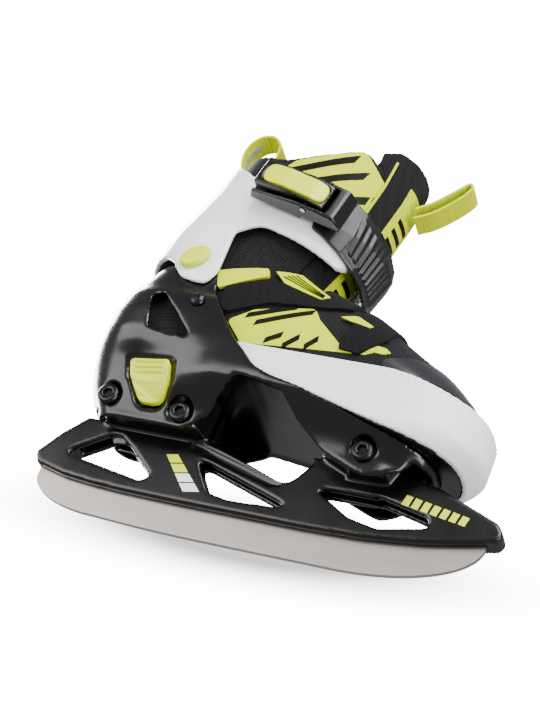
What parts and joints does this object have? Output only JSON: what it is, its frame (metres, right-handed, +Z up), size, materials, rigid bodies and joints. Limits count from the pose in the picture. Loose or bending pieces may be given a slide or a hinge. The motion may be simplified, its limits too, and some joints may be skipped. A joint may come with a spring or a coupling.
{
  "type": "ice skate",
  "caption": "Size-adjustable child's ice skate, right foot: steel blade, hard shell with hinged cuff and ratchet strap, soft boot whose toe slides forward",
  "frame": {"origin": "middle of the blade's bottom edge, on its flat glide zone", "axes": "+X towards the toe, +Z up along the leg, -Y the outer side of the right foot, which carries the buckle and the size button"},
  "size_m": [0.2765, 0.1145, 0.2757],
  "materials": {
    "blade_steel": "lengthwise brushed stainless steel, ground edge",
    "black_nylon": "semi-gloss moulded black nylon",
    "white_plastic": "glossy moulded white plastic",
    "lime_plastic": "satin yellow-green plastic",
    "white_rubber": "satin white rubber rand with a stitched top edge",
    "black_mesh": "padded black mesh with yellow-green panels",
    "black_webbing": "black hook-and-loop strap with rolled edges",
    "lime_webbing": "yellow-green woven webbing",
    "grey_foam": "dark grey felt-covered foam",
    "dark_steel": "blackened steel fastener",
    "spring_steel": "plain steel"
  },
  "bodies": {
    "chassis": {"blade": "blade_steel", "blade_holder": "black_nylon", "base_shell": "black_nylon", "frame_bolt_rear": "dark_steel", "frame_bolt_arch": "dark_steel", "frame_bolt_front": "dark_steel", "frame_nut_rear": "dark_steel", "frame_nut_arch": "dark_steel", "frame_nut_front": "dark_steel", "arm_rivet_lateral": "dark_steel", "arm_rivet_medial": "dark_steel", "pivot_bolt_lateral": "dark_steel", "pivot_bolt_medial": "dark_steel", "heel_upper": "black_mesh", "footbed": "grey_foam", "instep_strap": "black_webbing"},
    "toe": {"toe_carriage": "black_nylon", "toe_upper": "black_mesh", "toe_rand": "white_rubber", "forefoot_strap": "black_webbing"},
    "cuff": {"cuff": "white_plastic", "pivot_cap_lateral": "lime_plastic", "pivot_cap_medial": "lime_plastic", "ankle_liner": "black_mesh", "tongue": "black_mesh", "heel_pull_tab": "lime_webbing", "tongue_pull_tab": "lime_webbing", "ladder_strap": "black_nylon", "buckle_base": "black_nylon", "lever_pin": "spring_steel"},
    "lever": {"buckle_lever": "black_nylon", "lever_inlay": "lime_plastic"},
    "button": {"size_button": "lime_plastic", "button_spring": "spring_steel"}
  },
  "joints": [
    {"name": "size_slide", "type": "slide", "parent": "chassis", "child": "toe", "axis": [1, 0, 0], "range_m": [0, 0.015]},
    {"name": "cuff_flex", "type": "hinge", "parent": "chassis", "child": "cuff", "pos_m": [-0.083, 0, 0.1535], "axis": [0, 1, 0], "range_deg": [-3, 12]},
    {"name": "lever_swing", "type": "hinge", "parent": "cuff", "child": "lever", "pos_m": [-0.02522, -0.05481, 0.20107], "axis": [0.2039, 0.0285, 0.9786], "range_deg": [0, 45]},
    {"name": "button_press", "type": "slide", "parent": "chassis", "child": "button", "axis": [0, 1, 0], "range_m": [0, 0.0035], "stiffness_N_per_m": 500, "springref_m": -0.002}
  ]
}
